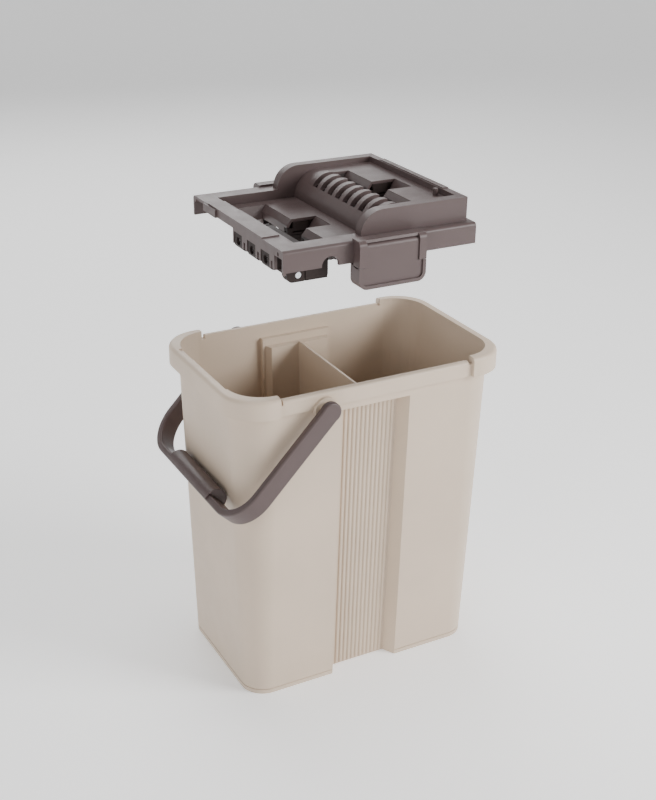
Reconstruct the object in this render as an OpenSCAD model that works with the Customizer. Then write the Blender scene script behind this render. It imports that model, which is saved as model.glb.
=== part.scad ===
// Flat-mop bucket with a lift-off squeezer. Millimetres, +Z up.
// The origin is the centre of the bucket's underside. X runs along the bucket, and -Y is its front.
// The squeezer is drawn lifted straight up off the rim, as for filling the bucket.

/* [Bucket] */
// Height of the bucket at the raised corners of its rim
bucket_h = 360; // [350:1:370]
// Length of the rim, along X
rim_l = 318.4; // [316:0.2:322]
// Width of the rim, along Y
rim_w = 205.4; // [205:0.2:207]
// Corner radius of the rim
rim_r = 40; // [38:1:42]
// Height of the skirt that hangs from the rim
skirt_h = 21; // [20:1:22]
// How far the rim's long middle stretches lie below its corners
rim_drop = 4.5; // [4:0.5:5]
// How far those stretches are set back from the corners' outer face
rim_inset = 4; // [3.5:0.5:4.5]
// Distance from the middle to the notch beside each corner
notch_x = 110; // [109.9:0.1:110.1]
// Width of those notches
notch_w = 4; // [4:0.1:4.4]
// Depth of the left notches, which the end wall of the squeezer's cover stands in
notch_h = 9.5; // [9.5:0.5:12]
// Depth of the right notches
right_notch_h = 7.5; // [6:0.5:12]
// Length of the tub just under the skirt
tub_top_l = 301.4; // [300:0.2:302]
// Width of the tub just under the skirt
tub_top_w = 189; // [188:0.5:190]
// Length of the tub at the floor
tub_base_l = 278.6; // [276:0.2:282]
// Width of the tub at the floor
tub_base_w = 168; // [166:0.5:170]
// Wall thickness of the tub
wall = 2.5; // [2.2:0.1:2.8]
// Thickness of the tub's bottom
bottom_t = 3; // [2.5:0.5:4]
// Depth of the recess in each long side
recess_d = 14.3; // [13:0.1:15]
// Width of the recess at the surface of the side
recess_w = 80; // [79:1:81]
// Width of the recess at its back
recess_back_w = 65; // [64:1:66]
// Number of upright ribs in each recess
rib_count = 12; // [10:1:12]
// Thickness of the divider between the two tanks
divider_t = 2.5; // [2:0.1:2.8]
// Height of the divider's top edge
divider_top = 334; // [325:1:335]

/* [Handle] */
// Distance of the pivots from the middle of the bucket, along X
pivot_x = -62; // [-63:1:-61]
// Height of the pivots
pivot_z = 339; // [338.5:0.5:340]
// Distance from the pivot to the outer face of the cross bar
bail_reach = 150; // [149:1:152]
// Width of the band that the handle is made of
band_w = 21; // [20:1:22]
// Thickness of that band
band_t = 8; // [7.5:0.5:8]
// Distance of each arm's inner face from the middle of the bucket
arm_y = 106.5; // [106.5:0.5:107]
// Angle below the horizontal at which the handle hangs against the end wall
hang_angle = 46.5; // [45:0.5:47]
// Length of the grip on the cross bar
grip_l = 100; // [90:5:110]
// Radius of the pivot pins
pivot_pin_r = 4; // [3.5:0.5:4]

/* [Squeezer cover] */
// How far the squeezer is lifted above its seat
lift = 150; // [140:5:160]
// Height of the flange's top when the squeezer is seated
seat_z = 359; // [359:0.5:360]
// Left end of the cover
cover_x0 = -111.5; // [-111.6:0.1:-111.4]
// Right end of the cover
cover_x1 = 101; // [99:1:102]
// Width of the cover over both flanges
cover_w = 211; // [210.5:0.5:211]
// Height of the flanges that hang over the rim
flange_h = 21; // [20:1:22]
// Wall thickness of the cover
shell = 3; // [2.5:0.5:3]
// Level of the low deck, from the top of the flange
deck_lo = -10; // [-11:1:-9]
// Level of the high deck, from the top of the flange
deck_hi = 18; // [17:1:18]
// Level of the top of the raised wall, from the top of the flange
wall_hi = 24; // [24:1:25]
// Number of louvre ribs on the ramp
louvre_count = 8; // [7:1:8]
// Distance from one louvre rib to the next
louvre_pitch = 16; // [15.5:0.5:16]

/* [Mop openings] */
// Left edge of the wash slot
wash_x0 = -76; // [-77:1:-75]
// Right edge of the wash slot
wash_x1 = -44; // [-45:1:-43]
// Left edge of the squeeze slot
dry_x0 = 27; // [27:1:28]
// Right edge of the squeeze slot
dry_x1 = 49; // [48:1:50]
// Length of the branch that the mop's neck passes through
neck_l = 28; // [27:1:29]
// Width of that branch
neck_w = 33; // [30:1:34]
// Place of the branch, along Y
neck_y = -4; // [-6:1:-2]

/* [Scrapers] */
// Travel of each sprung scraper
scraper_travel = 3; // [2:0.5:3]
// Radius of the scraper's guide pins
guide_pin_r = 2; // [1.5:0.5:2]
// Distance between guide pins on the wash side
wash_pin_pitch = 30.75; // [30:0.25:31]
// Distance between guide pins on the squeeze side
dry_pin_pitch = 40; // [38:1:42]
// Wire radius of the springs
wire_r = 0.45; // [0.4:0.05:0.5]
// Turns of each spring
spring_turns = 3; // [2:1:3]

/* [Latches] */
// Width of a latch
latch_w = 74; // [72:1:74]
// Depth of a latch below the top of the flange
latch_h = 46; // [44:1:48]
// Radius of the pin that a latch turns on
latch_pin_r = 2; // [1.5:0.5:2]

/* [Hidden] */
fit = 0.05;                                  // radial clearance of a pin in its hole
contact = 0.3;                               // gap between parts that pass each other
skirt_z = bucket_h - skirt_h;                // underside of the skirt
draft = atan((tub_top_w - tub_base_w) / 2 / skirt_z);
boss_t = 2.5;                                // thickness of the boss behind the recess
boss_top = 332;                              // top of the boss's inner step
frame_top = 340;                             // top of the boss's outer step
frame_w = 84;                                // width of the boss's outer step
frame_d = 8.5;                               // depth of the outer step from the side's surface
rim_edge = 4.5;                              // rounding of the rim's outer top edge
ring_r = 12;                                 // ring on the skirt round each pivot
end_x = notch_x + notch_w / 2;               // outer end of the notches
mid_top = bucket_h - rim_drop;               // top of the rim's lowered stretches
mid_y = rim_w / 2 - rim_inset;               // outer face of those stretches
rest_z = seat_z + lift;
arm_end_r = band_w / 2 + 0.4;                // radius of the round ends of the handle's arms
half_cover = cover_w / 2;
inner_y = 84;                                // inner face of the cover's long walls
basin_x0 = -93;                              // inner face of the low basin's end wall
basin_x1 = 88;                               // inner face of the high basin's end wall
raised_y = 95;                               // outer face of the raised long walls
raised_x1 = 96;                              // outer face of the raised end wall
band_edge = 3.5;                             // rounding of the cover's long top edges
guide_half = 40;                             // half length of the guide blocks
nose_half = 22;                              // half length of the part of them that shows in the slots
lead = 5;                                    // width of the sloping right edge of each slot
lead_h = 6.5;                                // height of that slope
ramp_x = 24;                                 // where the ramp meets the high deck
ramp_r = deck_hi - deck_lo;
beige = "#cdc5bb";
taupe = "#776b69";
dark = "#4a4340";
steel = "#c3c6c8";

// ---- shared shapes ----

// A block with rounded upright edges, standing on z.
module rounded_block(l, w, r, z, h) {
  translate([0, 0, z])
    linear_extrude(h) {
      square([l - 2 * r, w], center = true);
      square([l, w - 2 * r], center = true);
      for (sx = [-1, 1], sy = [-1, 1])
        translate([sx * (l / 2 - r), sy * (w / 2 - r)])
          circle(r, $fn = 64);
    }
}

// A box given by its lowest and highest corner.
module box(lo, hi) {
  translate(lo)
    cube(hi - lo);
}

// A flat shape drawn in X and Z, stretched from y0 to y1.
module along_y(y0, y1) {
  translate([0, y1, 0])
    rotate([90, 0, 0])
      linear_extrude(y1 - y0)
        children();
}

// A flat shape drawn in Y and Z, stretched from x0 to x1.
module along_x(x0, x1) {
  translate([x0, 0, 0])
    rotate([90, 0, 90])
      linear_extrude(x1 - x0)
        children();
}

// A round bar along X.
module bar_x(x0, x1, y, z, r) {
  translate([x0, y, z])
    rotate([0, 90, 0])
      cylinder(h = x1 - x0, r = r, $fn = 48);
}

// A round bar along Y.
module bar_y(y0, y1, x, z, r) {
  translate([x, y1, z])
    rotate([90, 0, 0])
      cylinder(h = y1 - y0, r = r, $fn = 48);
}

// An upright round bar.
module bar_z(z0, z1, x, y, r) {
  translate([x, y, z0])
    cylinder(h = z1 - z0, r = r, $fn = 48);
}

// The same shape at the front and, mirrored, at the back.
module front_and_back() {
  children();
  mirror([0, 1, 0])
    children();
}

// Moves a squeezer part, drawn from the top of its flange, to where it is lifted to.
module lifted() {
  translate([0, 0, rest_z])
    children();
}

// ---- bucket ----

// The tapered tub as a solid, shrunk by an inset and reaching from z0 to z1.
module tub(inset, z0, z1) {
  function side(base, top, z) = base + (top - base) * z / skirt_z - 2 * inset;
  hull()
    for (z = [z0, z1])
      rounded_block(side(tub_base_l, tub_top_l, z), side(tub_base_w, tub_top_w, z),
                    side(52, 76, z) / 2, z, 0.01);
}

// A front recess shape drawn from the side's surface inwards, leaning with the side.
module lean(z0, z1) {
  translate([0, -tub_base_w / 2, 0])
    rotate([draft, 0, 0])
      translate([0, 0, z0])
        linear_extrude(z1 - z0)
          children();
}

// The recess in plan, grown on all sides, from a depth below the side's surface.
module recess_shape(grow, near) {
  far = recess_d + grow;
  half = recess_w / 2 + grow - near * (recess_w - recess_back_w) / 2 / recess_d;
  polygon([[-half, near], [half, near], [recess_back_w / 2 + grow, far], [-recess_back_w / 2 - grow, far]]);
}

// The stepped boss behind the recess, with the groove that the divider stands in.
module boss() {
  intersection() {
    lean(1, boss_top + 4)
      difference() {
        recess_shape(wall, 1);
        translate([-divider_t / 2 - 0.15, recess_d + 1])
          square([divider_t + 0.3, 5]);
      }
    box([-60, -tub_top_w / 2 + 1, 0.5], [60, 0, boss_top]);
  }
  intersection() {
    lean(1, frame_top + 4)
      translate([-frame_w / 2, 1])
        square([frame_w, frame_d - 1]);
    box([-60, -tub_top_w / 2 + 1, 0.5], [60, 0, frame_top]);
  }
}

module recess_cut() {
  intersection() {
    lean(-3, skirt_z + 5)
      recess_shape(0, -4);
    box([-60, -rim_w, -1], [60, 0, boss_top - wall]);
  }
}

module recess_ribs() {
  pitch = (recess_back_w - 4) / rib_count;
  translate([0, -tub_base_w / 2, 0])
    rotate([draft, 0, 0])
      for (i = [0 : rib_count - 1])
        translate([(i - (rib_count - 1) / 2) * pitch, recess_d + 0.4, 1])
          linear_extrude(boss_top - wall - 1)
            intersection() {
              circle(pitch * 0.38, $fn = 24);
              translate([-3, -3])
                square([6, 3.5]);
            }
}

// The rim's raised stretches: a ring with a rounded edge, hollow from below.
module rim_corners() {
  difference() {
    hull() {
      rounded_block(rim_l, rim_w, rim_r, skirt_z, skirt_h - rim_edge);
      for (a = [30, 60, 90]) {
        inset = rim_edge * (1 - cos(a));
        z = bucket_h - rim_edge + rim_edge * sin(a);
        rounded_block(rim_l - 2 * inset, rim_w - 2 * inset, rim_r - inset, z - 0.1, 0.1);
      }
    }
    rounded_block(rim_l - 2 * shell, rim_w - 2 * shell, rim_r - shell, skirt_z - 1, skirt_h + 1 - shell);
    box([-end_x, -rim_w, skirt_z - 1], [end_x, rim_w, bucket_h + 1]);
  }
}

// The lowered long stretch at the front, with the end walls that join it to the corners.
module rim_middle() {
  r = rim_edge - 1;
  along_x(-end_x, end_x)
    difference() {
      union() {
        translate([-mid_y, skirt_z])
          square([tub_top_w, mid_top - skirt_z - r]);
        translate([-mid_y + r, mid_top - r])
          circle(r, $fn = 48);
        translate([-mid_y + r, mid_top - r])
          square([20, r]);
      }
      translate([-mid_y + shell, skirt_z - 1])
        square([tub_top_w, mid_top - shell - skirt_z + 1]);
      translate([-tub_top_w / 2 + 1, skirt_z - 1])
        square([tub_top_w, skirt_h + 2]);
    }
  for (sx = [-1, 1])
    translate([sx * (end_x + shell / 2), 0, 0])
      box([-shell / 2, -rim_w / 2 + 1, skirt_z], [shell / 2, -tub_top_w / 2 + 1, bucket_h - shell]);
}

// The stepped boss on the skirt that carries one end of the handle.
module pivot_boss() {
  bar_y(-arm_y + 0.5, -tub_top_w / 2 + 1.2, pivot_x, pivot_z, 7.5);
  bar_y(-half_cover + shell + 0.4, -tub_top_w / 2 + 1.2, pivot_x, pivot_z, ring_r);
}

module bucket() {
  color(beige)
    difference() {
      union() {
        difference() {
          union() {
            tub(0, 0, bucket_h - 1);
            rim_corners();
          }
          tub(wall, bottom_t, bucket_h + 1);
          front_and_back()
            box([-end_x, -rim_w, mid_top], [end_x, -tub_top_w / 2 + 20, bucket_h + 1]);
        }
        difference() {
          union()
            front_and_back() {
              rim_middle();
              pivot_boss();
            }
          tub(wall, bottom_t, bucket_h + 1);
        }
        front_and_back()
          boss();
      }
      front_and_back()
        recess_cut();
      // notches beside the corners
      translate([-notch_x, 0, bucket_h])
        box([-notch_w / 2, -rim_w, -notch_h], [notch_w / 2, rim_w, 1]);
      translate([notch_x, 0, bucket_h])
        box([-notch_w / 2, -rim_w, -right_notch_h], [notch_w / 2, rim_w, 1]);
      // shallow step in the inner edge of the left short side
      box([-tub_top_l / 2 - 2.5, -58, bucket_h - 2], [-tub_top_l / 2 + 4, 58, bucket_h + 1]);
      // sockets of the pivot pins
      front_and_back()
        bar_y(-arm_y, -tub_top_w / 2 + 1, pivot_x, pivot_z, pivot_pin_r);
      // fine line round the foot
      difference() {
        box([-rim_l, -rim_w, 5], [rim_l, rim_w, 6]);
        tub(0.7, 4, 7);
      }
    }
  color(beige)
    front_and_back()
      recess_ribs();
}

module divider() {
  function half_w(z) = tub_base_w / 2 - recess_d - boss_t + z * tan(draft) + 1.4;
  color(beige)
    along_x(-divider_t / 2, divider_t / 2)
      polygon([
        [-half_w(bottom_t), bottom_t + 0.05],
        [half_w(bottom_t), bottom_t + 0.05],
        [half_w(divider_top), divider_top],
        [-half_w(divider_top), divider_top]
      ]);
}

module pivot_pins() {
  color(steel)
    front_and_back()
      bar_y(-arm_y - band_t + 2.6, -tub_top_w / 2 + 1, pivot_x, pivot_z, pivot_pin_r);
}

// ---- handle ----

// Draws in the handle's own frame, where the arms reach along -X from the pivots, and hangs the result.
module hung() {
  translate([pivot_x, 0, pivot_z])
    rotate([0, -hang_angle, 0])
      children();
}

// A U with rounded corners that reaches from the pivots to -X.
module bail_outline(reach, half, r) {
  translate([-reach + r, -half])
    square([reach - r, 2 * half]);
  translate([-reach, -half + r])
    square([r + 0.01, 2 * (half - r)]);
  for (sy = [-1, 1])
    translate([-reach + r, sy * (half - r)])
      circle(r, $fn = 96);
}

module handle_bail() {
  outer = arm_y + band_t;
  color(taupe)
    hung()
      difference() {
        union() {
          translate([0, 0, -band_w / 2])
            linear_extrude(band_w)
              difference() {
                bail_outline(bail_reach, outer, 40);
                translate([1, 0])
                  bail_outline(bail_reach - band_t + 1, arm_y, 32);
              }
          front_and_back()
            bar_y(-outer, -arm_y, 0, 0, arm_end_r);
        }
        front_and_back()
          bar_y(-outer + 2.4, -arm_y + 1, 0, 0, pivot_pin_r + fit);
      }
}

module handle_grip() {
  color(taupe)
    hung()
      along_y(-grip_l / 2, grip_l / 2)
        difference() {
          intersection() {
            translate([-bail_reach + 6, 0])
              circle(12.5, $fn = 64);
            translate([-bail_reach + 1, -20])
              square([40, 40]);
          }
          translate([-bail_reach - fit, -band_w / 2 - fit])
            square([band_t + 2 * fit, band_w + 2 * fit]);
        }
}

// ---- squeezer cover, drawn from the top of its flange ----

// Side view of the raised wall, shrunk by an inset.
module wall_outline(inset) {
  translate([0, -shell])
    square([raised_x1 - inset, wall_hi + shell - inset]);
  intersection() {
    circle(wall_hi - inset, $fn = 96);
    translate([-wall_hi, 0])
      square([wall_hi + 1, wall_hi]);
  }
}

// Side view of the ramp: a quarter ring from the low deck up to the high deck.
module ramp_outline(r_out, r_in) {
  intersection() {
    translate([ramp_x, deck_lo])
      difference() {
        circle(r_out, $fn = 128);
        circle(r_in, $fn = 128);
      }
    translate([ramp_x - ramp_r - 1, deck_lo - shell])
      square([ramp_r + 1, ramp_r + shell + 1]);
  }
}

// Side view of a louvre rib: a bulge that leaves the ramp and comes back at its top.
module louvre_outline() {
  intersection() {
    difference() {
      translate([22.5, -0.9])
        circle(22, $fn = 96);
      translate([ramp_x, deck_lo])
        circle(ramp_r - shell, $fn = 128);
    }
    translate([0, 0])
      square([dry_x0, 30]);
  }
}

// Plan of one mop opening: a long slot with a branch to its right for the mop's neck.
module tee(x0, x1, y0, y1, grow) {
  half = neck_w / 2 + grow;
  translate([x0 - grow, y0 - grow])
    square([x1 - x0 + 2 * grow, y1 - y0 + 2 * grow]);
  translate([x1 - 1, neck_y - half])
    square([neck_l + 1 + grow, 2 * half]);
}

module wash_tee(grow = 0) {
  tee(wash_x0, wash_x1, -80, 72, grow);
}

module dry_tee(grow = 0) {
  tee(dry_x0, dry_x1, -72, 62, grow);
}

// Walls that hang from a deck at both ends of an opening, clear of the guide block between them.
module tee_walls(x_from, z0, z1) {
  difference() {
    intersection() {
      translate([0, 0, z0])
        linear_extrude(z1 - z0)
          children();
      box([x_from, -inner_y, z0], [basin_x1, inner_y, z1]);
    }
    translate([0, neck_y, 0])
      box([x_from - 1, -guide_half - 0.4, z0 - 1], [basin_x1 + 1, guide_half + 0.4, z1 - 2.4]);
  }
}

// Sloping right edge of a slot, which leads the mop in. Away from the neck it carries on down as an apron.
module slot_lead(x1, deck, y0, y1) {
  half = neck_w / 2;
  for (span = [[y0 - 1, neck_y - half], [neck_y + half, y1 + 1]])
    along_y(span[0], span[1])
      polygon([
        [x1 + 1, deck - 0.5], [x1, deck - 0.5], [x1 - lead, deck - lead_h], [x1 - lead, deck - 9],
        [x1 - lead + 2, deck - 9], [x1 + 1, deck - 2.9]
      ]);
  for (span = [[y0 - 1, neck_y - nose_half - contact], [neck_y + nose_half + contact, y1 + 1]])
    box([x1 - lead, span[0], deck - 14], [x1 - lead + 2, span[1], deck - 8]);
}

// Tapered fill at the right end of a neck branch, so that its end face slopes.
module neck_slope(x1, deck, depth) {
  far_x = x1 + neck_l;
  along_y(neck_y - neck_w / 2 - 1, neck_y + neck_w / 2 + 1)
    polygon([
      [far_x - 9, deck - depth], [far_x + 1, deck - depth], [far_x + 1, deck - 0.5], [far_x, deck - 0.5]
    ]);
}

// Section of the front flange and the flat band above it, with a rounded edge.
module flange_profile() {
  translate([-half_cover, -flange_h])
    square([shell, flange_h - band_edge]);
  translate([-half_cover + band_edge, -band_edge])
    circle(band_edge, $fn = 48);
  translate([-half_cover + band_edge, -shell])
    square([half_cover - band_edge - inner_y, shell]);
}

// Front flange with the opening that clears the handle's pivot boss.
module flange() {
  difference() {
    along_x(cover_x0, cover_x1)
      flange_profile();
    bar_y(-half_cover - 1, -half_cover + shell + 1, pivot_x, pivot_z - seat_z, 9);
    box([pivot_x - 9, -half_cover - 1, -flange_h - 1],
        [pivot_x + 9, -half_cover + shell + 1, pivot_z - seat_z]);
  }
}

// Long front wall: the low basin's side and the hollow raised wall.
module long_wall() {
  box([basin_x0 - wall, -inner_y - wall, deck_lo - shell], [0, -inner_y, 0]);
  along_y(-raised_y, -raised_y + shell)
    wall_outline(0);
  along_y(-inner_y - wall, -inner_y)
    wall_outline(0);
  along_y(-raised_y, -inner_y)
    difference() {
      wall_outline(0);
      translate([0, -shell - 0.01])
        wall_outline(shell);
    }
}

wash_pin_y = [for (i = [0 : 2]) -5.5 - i * wash_pin_pitch];
dry_pin_y = [for (i = [-1 : 1]) neck_y + i * dry_pin_pitch];
window_w = 19;

// The end wall on the wash side: short at the back, deep and cut into legs at the front.
module comb_wall() {
  difference() {
    union() {
      box([cover_x0, -half_cover + band_edge, -8], [cover_x0 + shell, 75, 0]);
      box([cover_x0, -half_cover + band_edge, -23], [cover_x0 + shell, 6, 0]);
      box([cover_x0, -half_cover, -23], [cover_x0 + shell, -half_cover + 4, -band_edge]);
      box([cover_x0 - 2, 45, -8.5], [cover_x0 + 1, 75, -0.5]);
    }
    for (y = wash_pin_y)
      box([cover_x0 - 1, y - window_w / 2, -30], [cover_x0 + shell + 1, y + window_w / 2, -10.5]);
    box([cover_x0 - 1, -102.5, -30], [cover_x0 + shell + 1, -87, -8]);
    // slots that fork the legs
    for (i = [0 : 2])
      translate([0, wash_pin_y[i] - wash_pin_pitch / 2 + (i == 2 ? 1 : 0), 0])
        box([cover_x0 - 1, -1.8, -30], [cover_x0 + shell + 1, 1.8, -15.5]);
    // small sight slot by the front corner
    box([cover_x0 - 1, -96, -7], [cover_x0 + shell + 1, -93.5, -3.2]);
  }
}

// Where the parts under the decks are screwed up from below: x, y, lowest and highest z of each post.
wash_posts = [[-75, -86, -23, deck_lo - 2], [-85, 22, -23, deck_lo - 2]];
wash_guide_posts = [[-28, neck_y - 26, -24, deck_lo - 2], [-28, neck_y + 26, -24, deck_lo - 2]];
dry_posts = [[12, -77, 5.5, 13], [12, 67, 5.5, 13], [56.5, -77, 5.5, deck_hi - 2], [56.5, 67, 5.5, deck_hi - 2]];
dry_guide_posts = [[66, neck_y - 26, -1, deck_hi - 2], [66, neck_y + 26, -1, deck_hi - 2]];
posts = concat(wash_posts, wash_guide_posts, dry_posts, dry_guide_posts);
screw_r = 1.5;
lug_t = 3;                                   // thickness of the lug under each post

module screw_posts() {
  for (p = posts)
    difference() {
      bar_z(p[2], p[3], p[0], p[1], 3.6);
      bar_z(p[2] - 1, p[2] + 7, p[0], p[1], screw_r);
    }
}

// ---- latch sizes, from the top of the flange ----
hinge_y = -half_cover - 5;                   // axis of the front latch's pin
hinge_z = -6;
knuckle_r = 5;
ear_w = 8;                                   // width of each ear that holds the pin
ear_h = 24;                                  // depth of the ears
ear_front = -half_cover - 11.5;

// The bracket that one latch hangs from: two ears and a low bridge between them.
module latch_bracket() {
  ear_x = latch_w / 2;
  difference() {
    for (sx = [-1, 1])
      translate([sx * (ear_x - ear_w / 2), 0, 0])
        along_x(-ear_w / 2, ear_w / 2) {
          translate([ear_front, -ear_h])
            square([-half_cover + 1 - ear_front, ear_h - 4]);
          translate([ear_front + 6, -4])
            circle(6, $fn = 48);
          translate([ear_front + 6, -4])
            square([-half_cover + 4 - ear_front - 6, 6]);
        }
    bar_x(-ear_x + 2, ear_x + 1, hinge_y, hinge_z, latch_pin_r);
  }
  along_x(-ear_x, ear_x)
    polygon([[hinge_y - 3.2, -0.6], [hinge_y - 2.4, 2], [-half_cover + 4, 2], [-half_cover + 4, -0.6]]);
}

module squeezer_cover() {
  color(taupe)
    lifted()
      difference() {
        union() {
          front_and_back() {
            flange();
            long_wall();
            latch_bracket();
          }
          comb_wall();
          // flange top at both ends, and the walls of the two basins
          box([cover_x0, -half_cover + band_edge, -shell], [basin_x0, half_cover - band_edge, 0]);
          box([cover_x0, -60, -0.5], [basin_x0, 66, 1.2]);
          box([basin_x1 + 1.5, -60, wall_hi - 0.5], [raised_x1, 66, wall_hi + 0.9]);
          box([basin_x0 - wall, -inner_y - 1, deck_lo - shell], [basin_x0, inner_y + 1, 0]);
          box([basin_x1, -half_cover + band_edge, -shell], [cover_x1, half_cover - band_edge, 0]);
          box([basin_x1, -inner_y - 1, deck_hi - shell], [basin_x1 + wall, inner_y + 1, wall_hi]);
          box([raised_x1 - shell, -raised_y, -shell], [raised_x1, raised_y, wall_hi]);
          box([basin_x1, -raised_y, wall_hi - shell], [raised_x1, raised_y, wall_hi]);
          box([cover_x1 - shell, -90, -14], [cover_x1, 90, 0]);
          front_and_back()
            box([cover_x1 - shell, -half_cover, -flange_h], [cover_x1, -99.5, -band_edge]);
          // decks and ramp
          box([basin_x0 - wall, -inner_y - 1, deck_lo - shell], [-1.5, inner_y + 1, deck_lo]);
          box([ramp_x, -inner_y - 1, deck_hi - shell], [basin_x1 + 1, inner_y + 1, deck_hi]);
          along_y(-inner_y - 1, inner_y + 1)
            ramp_outline(ramp_r, ramp_r - shell);
          tee_walls(wash_x1 - 0.5, deck_lo - 14, deck_lo - 0.5)
            wash_tee(wall);
          tee_walls(dry_x1 - 0.5, deck_hi - 19, deck_hi - 0.5)
            dry_tee(wall);
          screw_posts();
          bar_z(deck_hi - 1, deck_hi + 7, 82, -58, 2.6);
        }
        translate([0, 0, -40])
          linear_extrude(80)
            wash_tee();
        translate([0, 0, -40])
          linear_extrude(80)
            dry_tee();
        // the raised walls are open from below
        front_and_back()
          box([1, -raised_y + shell, -shell - 1], [86, -inner_y - wall, 0.5]);
        box([basin_x1 + wall, -raised_y + shell, -shell - 1], [raised_x1 - shell, raised_y - shell, 0.5]);
        // openings between the louvre ribs
        for (i = [0 : louvre_count - 1])
          translate([0, neck_y - 2 + (i - (louvre_count - 1) / 2) * louvre_pitch, 0])
            box([3, -4.3, 1], [ramp_x + 1, 4.3, wall_hi + 8]);
      }
  color(taupe)
    lifted() {
      for (i = [0 : louvre_count])
        translate([0, neck_y - 2 + (i - louvre_count / 2) * louvre_pitch, 0])
          along_y(-louvre_pitch / 2 + 4.5, louvre_pitch / 2 - 4.5)
            louvre_outline();
      // sloping far end of the wash slot, and of both necks
      along_x(wash_x0 - 1, wash_x1 + 1)
        polygon([[73, deck_lo - 0.5], [72, deck_lo - 0.5], [67, deck_lo - 14], [73, deck_lo - 14]]);
      slot_lead(wash_x1, deck_lo, -80, 72);
      slot_lead(dry_x1, deck_hi, -72, 62);
      neck_slope(wash_x1, deck_lo, 13.5);
      neck_slope(dry_x1, deck_hi, 18.5);
    }
}

// ---- parts under the decks ----

rail_x0 = -91;                               // wash rail, from its outer to its inner face
rail_x1 = -80;
wash_pin_z = -18.5;
wash_face = wash_x0 + 12.5;                  // working face of the wash scraper
wash_back = wash_face - 9.5;
dry_rail_x0 = 9;
dry_rail_x1 = 15;
dry_pin_z = -8;
dry_face = dry_x0 + 3;
dry_back = dry_face - 8;
wash_z0 = -37;                               // underside of the wash housing
front_screw = [-88, -30.5];                    // x and z of the screw in its front block

// A lug with a screw hole under each post of a list.
module lugs(list) {
  for (p = list)
    difference() {
      bar_z(p[2] - lug_t, p[2], p[0], p[1], 4.2);
      bar_z(p[2] - lug_t - 1, p[2] + 1, p[0], p[1], screw_r + fit);
    }
}

// The block of the wash housing that shows below the front flange.
module front_block() {
  x0 = -100;
  x1 = -57;
  r = 6;
  difference() {
    along_y(-90.5, -80.5) {
      translate([x0 + r, wash_z0])
        square([x1 - x0 - r, r + 1]);
      translate([x0, wash_z0 + r])
        square([x1 - x0, deck_lo - shell - wash_z0 - r]);
      translate([x0 + r, wash_z0 + r])
        circle(r, $fn = 48);
    }
    box([-81.6, -91, wash_z0 - 1], [-80.4, -89.5, deck_lo]);
    bar_y(-91, -88.2, front_screw[0], front_screw[1], 3.5);
  }
}

module wash_housing() {
  z1 = deck_lo - shell;
  color(dark)
    lifted()
      difference() {
        union() {
          box([rail_x0, -84, wash_z0], [rail_x1, 18, z1]);
          box([rail_x0, -84, wash_z0], [-53, -80.5, z1]);
          box([rail_x0, 14.5, wash_z0], [wash_face - 2.5, 18, z1]);
          box([-89.5, 17.5, -26], [-80.5, 26, -23]);
          front_block();
          // bar behind the end wall's legs, with a rounded block in each window
          box([cover_x0 + shell + 1.2, -83.5, -22], [rail_x0 + 1, 3.7, z1]);
          for (y = wash_pin_y)
            along_y(y - 9.2, y + 9.2) {
              translate([cover_x0 + 0.6, -22])
                square([basin_x0 - wall - contact - cover_x0 - 0.6, 22 - 10.8]);
              translate([cover_x0 + 5.6, -27])
                square([rail_x0 - cover_x0 - 5, 6]);
              translate([cover_x0 + 5.6, -22])
                circle(5, $fn = 48);
            }
        }
        for (y = wash_pin_y) {
          bar_x(cover_x0, rail_x1 + 1, y, wash_pin_z, guide_pin_r + fit);
          bar_x(cover_x0, cover_x0 + 5.8, y, wash_pin_z, 4.2);
        }
        for (p = wash_posts) {
          bar_z(wash_z0 - 1, p[2] + 1, p[0], p[1], screw_r + fit);
          bar_z(wash_z0 - 1, p[2] - lug_t, p[0], p[1], 3.6);
          bar_z(p[2], z1 + 1, p[0], p[1], 3.9);
        }
        bar_y(-91, -75, front_screw[0], front_screw[1], screw_r + fit);
      }
}

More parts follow.
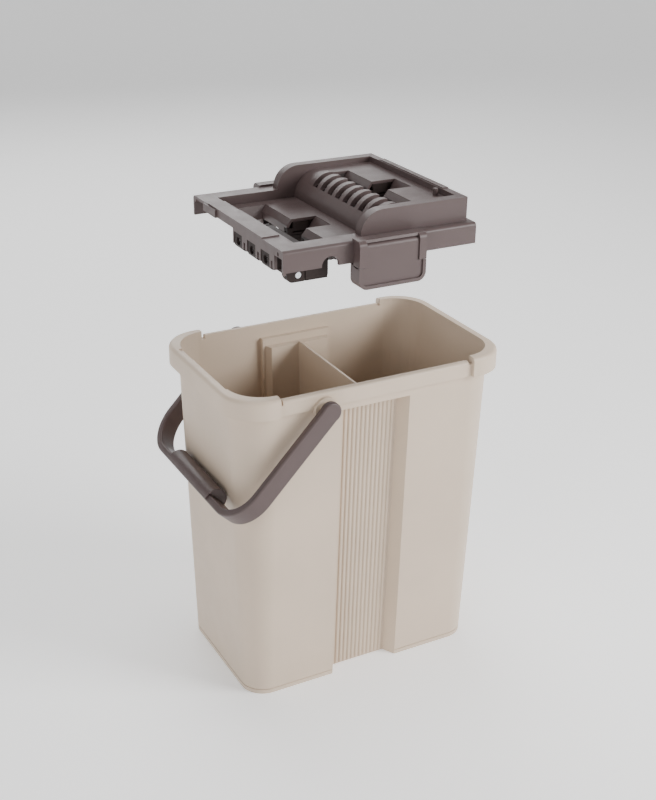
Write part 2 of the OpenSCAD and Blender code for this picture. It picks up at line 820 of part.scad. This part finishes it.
// A block under a neck branch, with level grooves in the faces that the mop rubs along.
// It is hollow from below round two bosses, which the cover's posts stand in.
module guide_block(x1, z0, z1, step_z, list) {
  half = neck_w / 2 - 1.2;
  end = x1 + neck_l;
  face = x1 - lead + 0.3;
  seat = list[0][2];
  difference() {
    box([face, neck_y - guide_half, z0], [end + 5, neck_y + guide_half, z1]);
    box([face - 1, neck_y - half, z0 - 1], [end - 1.2, neck_y + half, z1 + 1]);
    // set back below the step
    box([face - 1, neck_y - half - 1.5, z0 - 1], [end + 0.3, neck_y + half + 1.5, step_z]);
    box([face - 1, neck_y - guide_half - 1, z0 - 1], [face + 1.5, neck_y + guide_half + 1, step_z]);
    // room for the slot's sloping edge
    box([face - 1, neck_y - guide_half - 1, z1 - 6.3], [x1 + 1.4, neck_y + guide_half + 1, z1 + 1]);
    // room for the cover's sloping fill at the end of the neck
    box([end - 9.4, neck_y - 17.9, seat], [end + 1.4, neck_y + 17.9, z1 + 1]);
    for (m = [0, 1])
      translate([0, neck_y, 0])
        mirror([0, m, 0]) {
          // room for the slot's apron
          box([face - 1, nose_half, z0 - 1], [face + 2, guide_half + 1, z1 + 1]);
          for (z = [z0 + 3 : 3.6 : z1 - 8]) {
            box([face - 1, half + 2.4, z], [face + 2.2, nose_half - 1, z + 1.5]);
            box([x1 + 1, half - 1, z], [end - 11, half + 2.3, z + 1.5]);
          }
          difference() {
            translate([0, 0, z0 - 1])
              linear_extrude(z1 - z0 - 2)
                polygon([
                  [x1 + 3, guide_half - 3], [x1 + 3, half + 16], [x1 + 12, half + 4.5],
                  [end + 2, half + 4.5], [end + 2, guide_half - 3]
                ]);
            bar_z(z0 - 2, z1, list[0][0], 26, 6.5);
          }
        }
    for (p = list) {
      bar_z(z0 - 1, z1 + 1, p[0], p[1], screw_r + fit);
      bar_z(z0 - 1, seat - lug_t, p[0], p[1], 3.6);
      bar_z(seat, z1 + 1, p[0], p[1], 3.9);
    }
  }
}

module wash_guide() {
  color(dark)
    lifted()
      guide_block(wash_x1, wash_z0 - 1, deck_lo - shell - 0.2, -26, wash_guide_posts);
}

module dry_guide() {
  color(dark)
    lifted()
      guide_block(dry_x1, -17, deck_hi - shell - 0.2, 3, dry_guide_posts);
}

module dry_housing() {
  z0 = -19;
  z1 = 5.5;
  color(dark)
    lifted()
      difference() {
        union() {
          box([dry_rail_x0, -73.5, z0], [dry_rail_x1, 63.5, z1]);
          box([dry_rail_x0, -76, z0], [42, -72.5, z1]);
          box([dry_rail_x0, 62.5, z0], [42, 66, z1]);
          box([40, -78, z1 - lug_t], [56.5, -74.8, z1]);
          box([40, 64.8, z1 - lug_t], [56.5, 68, z1]);
          lugs(dry_posts);
        }
        for (y = dry_pin_y)
          bar_x(dry_rail_x0 - 1, dry_rail_x1 + 1, y, dry_pin_z, guide_pin_r + fit);
        for (p = dry_posts)
          bar_z(z0 - 1, z1 + 1, p[0], p[1], screw_r + fit);
        for (p = dry_posts)
          bar_z(z0 - 1, z1 - lug_t, p[0], p[1], 3.6);
      }
}

module screw(x, y, z, reach) {
  bar_z(z - 2, z, x, y, 3.2);
  bar_z(z, z + reach, x, y, screw_r);
}

module housing_screws() {
  color(steel)
    lifted() {
      for (p = posts)
        screw(p[0], p[1], p[2] - lug_t, lug_t + 6.5);
      bar_y(-90.2, -88.2, front_screw[0], front_screw[1], 3.2);
      bar_y(-88.21, -77, front_screw[0], front_screw[1], screw_r);
    }
}

// ---- sprung scrapers ----

// A bar with level ridges along its working face.
module scraper(back, face, y0, y1, z0, z1, pins, pin_z) {
  difference() {
    union() {
      box([back, y0, z0], [face - 1, y1, z1]);
      for (z = [z0 + 2.5 : 4 : z1 - 2])
        bar_y(y0, y1, face - 1.2, z, 1.2);
    }
    for (y = pins)
      bar_x(back - 1, face - 4, y, pin_z, guide_pin_r);
  }
}

module wash_scraper() {
  z1 = deck_lo - shell - contact;
  color(dark)
    lifted()
      scraper(wash_back, wash_face, -79.5, 13.5, wash_z0 + 1, z1, wash_pin_y, wash_pin_z);
}

module dry_scraper() {
  color(dark)
    lifted()
      scraper(dry_back, dry_face, -71.5, 61.5, -18.5, 11.5, dry_pin_y, dry_pin_z);
}

// Headed pins along X that carry a scraper through its rail.
module guide_pins(head_x, tip_x, pins, z) {
  color(steel)
    lifted()
      for (y = pins) {
        bar_x(head_x, head_x + 2.2, y, z, 3.6);
        bar_x(head_x + 2.2, tip_x, y, z, guide_pin_r);
      }
}

module wash_guide_pins() {
  guide_pins(cover_x0 + 3, wash_face - 4, wash_pin_y, wash_pin_z);
}

module dry_guide_pins() {
  guide_pins(dry_rail_x0 - 2.5, dry_face - 4, dry_pin_y, dry_pin_z);
}

// A coil spring round the X axis, from x0 to x1.
module coil(x0, x1, y, z, r) {
  turn_n = 16;
  side_n = 6;
  ring_n = turn_n * spring_turns;
  pitch = (x1 - x0 - 2 * wire_r - 0.1) / spring_turns;
  function ring(i) = let (a = 360 * i / turn_n)
    [for (k = [0 : side_n - 1]) let (b = 360 * k / side_n, d = r + wire_r * cos(b))
      [x0 + 0.05 + wire_r + pitch * i / turn_n + wire_r * sin(b), y + d * cos(a), z + d * sin(a)]];
  points = [for (i = [0 : ring_n]) each ring(i)];
  sides = [for (i = [0 : ring_n - 1], k = [0 : side_n - 1]) let (m = (k + 1) % side_n)
    [i * side_n + k, (i + 1) * side_n + k, (i + 1) * side_n + m, i * side_n + m]];
  first = [for (k = [0 : side_n - 1]) k];
  last = [for (k = [side_n - 1 : -1 : 0]) ring_n * side_n + k];
  polyhedron(points, concat([first, last], sides));
}

module wash_springs() {
  color(steel)
    lifted()
      for (y = wash_pin_y)
        coil(rail_x1, wash_back, y, wash_pin_z, 3);
}

module dry_springs() {
  color(steel)
    lifted()
      for (y = dry_pin_y)
        coil(dry_rail_x1, dry_back, y, dry_pin_z, 3);
}

// ---- latches ----

// Front view of the latch's lower, wide part, shrunk by an inset.
module latch_outline(inset) {
  r = 9 - inset;
  x = latch_w / 2 - inset;
  z = -latch_h + inset;
  translate([-x, z + r])
    square([2 * x, -ear_h + 4 - z - r]);
  translate([-x + r, z])
    square([2 * (x - r), r + 1]);
  for (sx = [-1, 1])
    translate([sx * (x - r), z + r])
      circle(r, $fn = 48);
}

// The front latch: a knuckle on the pin, and below it a box that is open at the back.
module latch() {
  front = ear_front;
  back = -mid_y - 0.8;
  neck_x = latch_w / 2 - ear_w - 0.35;
  border = 3.6;
  difference() {
    union() {
      bar_x(-neck_x, neck_x, hinge_y, hinge_z, knuckle_r);
      box([-neck_x, hinge_y - knuckle_r, -ear_h - 3], [neck_x, hinge_y - knuckle_r + shell, hinge_z]);
      difference() {
        along_y(front, back)
          latch_outline(0);
        along_y(front + 4.5, back + 1)
          latch_outline(shell);
        along_y(front - 1, front + 1.5)
          latch_outline(border);
        // clearance round the ears as the latch turns
        bar_x(-latch_w, -neck_x, hinge_y, hinge_z, 19.4);
        bar_x(neck_x, latch_w, hinge_y, hinge_z, 19.4);
        box([-neck_x, hinge_y - knuckle_r + shell, -ear_h], [neck_x, 0, 0]);
        box([-latch_w, front - 1, -ear_h + 1.5], [latch_w, front + 1.5, 0]);
        // room under the flange
        box([-latch_w, hinge_y + 2.5, -flange_h - 1.5], [latch_w, 0, 0]);
      }
    }
    bar_x(-latch_w, latch_w, hinge_y, hinge_z, latch_pin_r + fit);
  }
}

module latch_pin() {
  bar_x(-latch_w / 2 + 2.2, latch_w / 2 - 0.2, hinge_y, hinge_z, latch_pin_r);
}

module front_latch() {
  color(taupe)
    lifted()
      latch();
}

module front_latch_pin() {
  color(steel)
    lifted()
      latch_pin();
}

module rear_latch() {
  color(taupe)
    lifted()
      mirror([0, 1, 0])
        latch();
}

module rear_latch_pin() {
  color(steel)
    lifted()
      mirror([0, 1, 0])
        latch_pin();
}

bucket();
divider();
pivot_pins();
handle_bail();
handle_grip();
squeezer_cover();
wash_housing();
wash_guide();
dry_housing();
dry_guide();
housing_screws();
wash_scraper();
wash_guide_pins();
wash_springs();
dry_scraper();
dry_guide_pins();
dry_springs();
front_latch();
front_latch_pin();
rear_latch();
rear_latch_pin();
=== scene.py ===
"""Looks of the flat-mop bucket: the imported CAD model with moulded-plastic and steel materials,
softened edges, finer springs, a pale floor, soft studio lights and the camera."""

import math

import bmesh
import bpy
from mathutils import Matrix, Vector


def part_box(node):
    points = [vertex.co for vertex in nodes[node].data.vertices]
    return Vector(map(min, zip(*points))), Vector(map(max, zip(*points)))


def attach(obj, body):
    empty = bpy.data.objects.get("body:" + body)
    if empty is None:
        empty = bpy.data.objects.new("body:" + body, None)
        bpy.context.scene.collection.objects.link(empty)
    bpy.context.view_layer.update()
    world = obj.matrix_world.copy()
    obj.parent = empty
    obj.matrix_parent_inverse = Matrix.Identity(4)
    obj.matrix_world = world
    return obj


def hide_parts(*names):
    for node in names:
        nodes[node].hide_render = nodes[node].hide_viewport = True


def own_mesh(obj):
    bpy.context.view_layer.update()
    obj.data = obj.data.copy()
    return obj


MM = 0.001

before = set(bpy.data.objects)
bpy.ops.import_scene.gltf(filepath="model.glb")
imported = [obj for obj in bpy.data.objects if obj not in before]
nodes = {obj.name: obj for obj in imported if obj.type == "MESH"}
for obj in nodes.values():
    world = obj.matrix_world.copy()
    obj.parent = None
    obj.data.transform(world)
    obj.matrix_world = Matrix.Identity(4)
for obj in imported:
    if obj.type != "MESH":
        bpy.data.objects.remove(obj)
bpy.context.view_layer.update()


# ---- node materials ----

FLOW_SPREAD = 0.05


def new_material(name):
    """An empty node material with a Principled shader on its output."""
    material = bpy.data.materials.new(name)
    material.use_nodes = True
    tree = material.node_tree
    tree.nodes.clear()
    output = tree.nodes.new("ShaderNodeOutputMaterial")
    shader = tree.nodes.new("ShaderNodeBsdfPrincipled")
    tree.links.new(shader.outputs["BSDF"], output.inputs["Surface"])
    return material, tree, shader


def noise(tree, coordinates, scale, detail=3.0, roughness=0.5):
    """A noise texture in object coordinates, with its scale given per metre."""
    node = tree.nodes.new("ShaderNodeTexNoise")
    node.inputs["Scale"].default_value = scale
    node.inputs["Detail"].default_value = detail
    node.inputs["Roughness"].default_value = roughness
    tree.links.new(coordinates, node.inputs["Vector"])
    return node.outputs["Fac"]


def ramp(tree, factor, stops):
    """A colour ramp over a factor; a stop is its place and its colour."""
    node = tree.nodes.new("ShaderNodeValToRGB")
    points = node.color_ramp.elements
    while len(points) < len(stops):
        points.new(0.5)
    for point, (place, colour) in zip(points, stops):
        point.position = place
        point.color = (*colour, 1.0)
    tree.links.new(factor, node.inputs["Fac"])
    return node.outputs["Color"]


def remap(tree, factor, low, high):
    """Stretches the middle of a factor over low to high."""
    node = tree.nodes.new("ShaderNodeMapRange")
    node.inputs["From Min"].default_value = 0.3
    node.inputs["From Max"].default_value = 0.7
    node.inputs["To Min"].default_value = low
    node.inputs["To Max"].default_value = high
    tree.links.new(factor, node.inputs["Value"])
    return node.outputs["Result"]


def bump(tree, height, strength, distance, under=None):
    """A bump of a height, on top of another bump if one is given."""
    node = tree.nodes.new("ShaderNodeBump")
    node.inputs["Strength"].default_value = strength
    node.inputs["Distance"].default_value = distance
    tree.links.new(height, node.inputs["Height"])
    if under is not None:
        tree.links.new(under, node.inputs["Normal"])
    return node.outputs["Normal"]


def shade(colour, factor):
    return tuple(channel * factor for channel in colour)


def moulded_plastic(name, colour, roughness, grain, shine=0.42):
    """Moulded plastic: slow flow marks in its colour, an uneven satin and a fine eroded grain."""
    material, tree, shader = new_material(name)
    place = tree.nodes.new("ShaderNodeTexCoord").outputs["Object"]
    clouds = noise(tree, place, 9.0, 4.0, 0.55)
    darker, lighter = shade(colour, 1 - FLOW_SPREAD), shade(colour, 1 + FLOW_SPREAD)
    stops = [(0.3, darker), (0.5, colour), (0.72, lighter)]
    tree.links.new(ramp(tree, clouds, stops), shader.inputs["Base Color"])
    patches = noise(tree, place, 55.0, 3.0, 0.6)
    tree.links.new(remap(tree, patches, roughness - 0.05, roughness + 0.06), shader.inputs["Roughness"])
    fine = noise(tree, place, 2600.0, 2.0, 0.6)
    flow = noise(tree, place, 22.0, 2.0, 0.5)
    waves = bump(tree, flow, 0.12, 0.0012)
    tree.links.new(bump(tree, fine, grain, 0.00012, waves), shader.inputs["Normal"])
    shader.inputs["Specular IOR Level"].default_value = shine
    shader.inputs["IOR"].default_value = 1.49
    return material


def bright_steel(name):
    """Plated steel with fine turning marks and a slightly uneven polish."""
    material, tree, shader = new_material(name)
    place = tree.nodes.new("ShaderNodeTexCoord").outputs["Object"]
    marks = noise(tree, place, 900.0, 2.0, 0.5)
    tree.links.new(ramp(tree, marks, [(0.3, (0.52, 0.53, 0.54)), (0.7, (0.70, 0.71, 0.72))]),
                   shader.inputs["Base Color"])
    tree.links.new(remap(tree, marks, 0.2, 0.36), shader.inputs["Roughness"])
    tree.links.new(bump(tree, marks, 0.15, 0.00005), shader.inputs["Normal"])
    shader.inputs["Metallic"].default_value = 1.0
    return material


BEIGE = (0.6, 0.485, 0.378)
TAUPE = (0.088, 0.061, 0.059)
DARK = (0.025, 0.0165, 0.015)

beige_plastic = moulded_plastic("beige_plastic", BEIGE, 0.42, 0.35)
taupe_plastic = moulded_plastic("taupe_plastic", TAUPE, 0.4, 0.4)
dark_plastic = moulded_plastic("dark_plastic", DARK, 0.55, 0.5, 0.18)
steel = bright_steel("steel")

LOOKS = {
    "bucket": beige_plastic, "divider": beige_plastic,
    "handle_bail": taupe_plastic, "handle_grip": taupe_plastic,
    "squeezer_cover": taupe_plastic, "front_latch": taupe_plastic, "rear_latch": taupe_plastic,
    "wash_housing": dark_plastic, "wash_guide": dark_plastic, "dry_housing": dark_plastic,
    "dry_guide": dark_plastic, "wash_scraper": dark_plastic, "dry_scraper": dark_plastic,
}


# ---- CAD nodes: softened edges and a material ----

EDGE_ANGLE = math.radians(32)
FLAT_ANGLE = math.radians(0.6)
EDGE_RADIUS = {"bucket": 0.9, "divider": 0.5, "handle_bail": 2.2, "handle_grip": 1.2,
               "squeezer_cover": 1.1, "front_latch": 1.2, "rear_latch": 1.2}
SMALL_EDGE = 0.4


def soften(piece, radius):
    """Rounds a part's sharp edges and lets its flat faces stay flat."""
    mesh = piece.data
    mesh.shade_smooth()
    weld = piece.modifiers.new("weld", "WELD")
    weld.merge_threshold = 0.00001
    flatten = piece.modifiers.new("flatten", "DECIMATE")
    flatten.decimate_type = "DISSOLVE"
    flatten.angle_limit = FLAT_ANGLE
    rounding = piece.modifiers.new("rounding", "BEVEL")
    rounding.width = radius * MM
    rounding.segments = 3
    rounding.limit_method = "ANGLE"
    rounding.angle_limit = EDGE_ANGLE
    rounding.use_clamp_overlap = True
    rounding.harden_normals = True
    evening = piece.modifiers.new("evening", "WEIGHTED_NORMAL")
    evening.keep_sharp = True
    evening.weight = 80


def dress(piece, material):
    piece.data.materials.clear()
    piece.data.materials.append(material)


for name, piece in nodes.items():
    dress(piece, LOOKS.get(name, steel))
    soften(piece, EDGE_RADIUS.get(name, SMALL_EDGE))


# ---- springs: round wire with closed ends, in place of the coarse coils ----

WIRE = 0.42 * MM
TURNS = 4.5
TURN_STEPS = 28
END_CLOSING = 0.55
WIRE_SIDES = 10
SPRINGS = 3


def coil_path(x0, x1, y, z, radius):
    """Points along a compression spring's wire, whose end turns lie flat against its seats."""
    steps = round(TURNS * TURN_STEPS)
    points = []
    for i in range(steps + 1):
        t = i / steps
        eased = t - END_CLOSING * math.sin(2 * math.pi * t) / (2 * math.pi)
        turn = 2 * math.pi * TURNS * t
        x = x0 + (x1 - x0) * eased
        points.append(Vector((x, y + radius * math.cos(turn), z + radius * math.sin(turn))))
    return points


def sweep(bm, points, radius):
    """A round wire along a path, capped at both ends."""
    rings = []
    for i, point in enumerate(points):
        ahead = points[min(i + 1, len(points) - 1)] - points[max(i - 1, 0)]
        ahead.normalize()
        across = ahead.cross(Vector((1.0, 0.0, 0.0))).normalized()
        over = ahead.cross(across)
        ring = []
        for k in range(WIRE_SIDES):
            a = 2 * math.pi * k / WIRE_SIDES
            ring.append(bm.verts.new(point + radius * (math.cos(a) * across + math.sin(a) * over)))
        rings.append(ring)
    for a, b in zip(rings, rings[1:]):
        for k in range(WIRE_SIDES):
            m = (k + 1) % WIRE_SIDES
            bm.faces.new((a[k], a[m], b[m], b[k]))
    bm.faces.new(rings[0])
    bm.faces.new(list(reversed(rings[-1])))


def fine_springs(node):
    """Fine springs in the place of a CAD node's, carried with the squeezer."""
    low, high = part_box(node)
    radius = (high[2] - low[2]) / 2 - WIRE
    z = (low[2] + high[2]) / 2
    first, last = low[1] + radius + WIRE, high[1] - radius - WIRE
    bm = bmesh.new()
    for i in range(SPRINGS):
        y = first + (last - first) * i / (SPRINGS - 1)
        sweep(bm, coil_path(low[0] + WIRE, high[0] - WIRE, y, z, radius), WIRE)
    bmesh.ops.recalc_face_normals(bm, faces=bm.faces)
    mesh = bpy.data.meshes.new("fine_" + node)
    bm.to_mesh(mesh)
    bm.free()
    mesh.shade_smooth()
    springs = bpy.data.objects.new("fine_" + node, mesh)
    bpy.context.scene.collection.objects.link(springs)
    dress(springs, steel)
    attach(springs, "squeezer")
    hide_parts(node)
    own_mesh(springs)


fine_springs("wash_springs")
fine_springs("dry_springs")


# ---- studio ----

FLOOR_GLOW = 0.42
FLOOR_COLOUR = (0.97, 0.97, 0.97)
FLOOR_STEPS = 16
FLOOR_SIDES = 96


def matte(name, colour, rough):
    """A plain studio surface with barely visible clouds in its tone."""
    material, tree, shader = new_material(name)
    place = tree.nodes.new("ShaderNodeTexCoord").outputs["Object"]
    clouds = noise(tree, place, 2.0, 2.0)
    stops = [(0.3, shade(colour, 0.985)), (0.7, colour)]
    tree.links.new(ramp(tree, clouds, stops), shader.inputs["Base Color"])
    shader.inputs["Roughness"].default_value = rough
    shader.inputs["Emission Color"].default_value = (1.0, 1.0, 1.0, 1.0)
    shader.inputs["Emission Strength"].default_value = FLOOR_GLOW
    return material


def studio_floor():
    """A wide pale bowl: a round floor that curves up into a low wall on all sides."""
    flat, radius, top = 4.0, 1.6, 2.2
    profile = [(flat, 0.0)]
    for i in range(1, FLOOR_STEPS + 1):
        turn = math.pi / 2 * i / FLOOR_STEPS
        profile.append((flat + radius * math.sin(turn), radius - radius * math.cos(turn)))
    profile.append((flat + radius, top))
    bm = bmesh.new()
    rings = []
    for reach, z in profile:
        ring = []
        for k in range(FLOOR_SIDES):
            a = 2 * math.pi * k / FLOOR_SIDES
            ring.append(bm.verts.new((reach * math.cos(a), reach * math.sin(a), z)))
        rings.append(ring)
    bm.faces.new(rings[0])
    for low, high in zip(rings, rings[1:]):
        for k in range(FLOOR_SIDES):
            m = (k + 1) % FLOOR_SIDES
            bm.faces.new((low[m], low[k], high[k], high[m]))
    bmesh.ops.recalc_face_normals(bm, faces=bm.faces)
    bmesh.ops.reverse_faces(bm, faces=bm.faces)
    mesh = bpy.data.meshes.new("studio_floor")
    bm.to_mesh(mesh)
    bm.free()
    mesh.shade_smooth()
    floor = bpy.data.objects.new("studio_floor", mesh)
    bpy.context.scene.collection.objects.link(floor)
    dress(floor, matte("studio_floor", FLOOR_COLOUR, 0.8))
    return floor


studio_floor()


def area_light(name, place, target, size, power):
    light = bpy.data.lights.new(name, "AREA")
    light.shape = "RECTANGLE"
    light.size, light.size_y = size
    light.energy = power
    lamp = bpy.data.objects.new(name, light)
    lamp.location = place
    lamp.rotation_euler = (Vector(target) - Vector(place)).to_track_quat("-Z", "Y").to_euler()
    bpy.context.scene.collection.objects.link(lamp)


MIDDLE = (0.0, 0.0, 0.28)
WORLD_LIGHT = 0.12
area_light("key_light", (1.35, -1.3, 1.15), MIDDLE, (0.9, 0.9), 46)
area_light("fill_light", (-2.2, -1.2, 1.2), MIDDLE, (1.5, 1.5), 19)
area_light("top_light", (0.1, 0.3, 2.5), MIDDLE, (1.2, 1.2), 28)
area_light("back_light", (0.4, 2.2, 1.6), MIDDLE, (1.8, 1.2), 26)

world = bpy.data.worlds.new("studio")
bpy.context.scene.world = world
world.use_nodes = True
background = world.node_tree.nodes["Background"]
background.inputs["Color"].default_value = (1.0, 1.0, 1.0, 1.0)
background.inputs["Strength"].default_value = WORLD_LIGHT


# ---- camera, at the angle of the picture ----

CAMERA_AT = Vector((-0.6127, -1.1164, 0.8853))
YAW = 0.4984
PITCH = 0.4352
ROLL = 0.0149
LENS = 58.18
SENSOR = 36.0


def picture_camera():
    level = math.cos(PITCH)
    forward = Vector((math.sin(YAW) * level, math.cos(YAW) * level, -math.sin(PITCH)))
    right = Vector((math.cos(YAW), -math.sin(YAW), 0.0))
    up = right.cross(forward)
    rolled_right = math.cos(ROLL) * right + math.sin(ROLL) * up
    rolled_up = -math.sin(ROLL) * right + math.cos(ROLL) * up
    data = bpy.data.cameras.new("camera")
    data.sensor_fit = "AUTO"
    data.sensor_width = SENSOR
    data.lens = LENS
    camera = bpy.data.objects.new("camera", data)
    turn = Matrix((rolled_right, rolled_up, -forward)).transposed()
    camera.matrix_world = Matrix.Translation(CAMERA_AT) @ turn.to_4x4()
    bpy.context.scene.collection.objects.link(camera)
    bpy.context.scene.camera = camera


picture_camera()
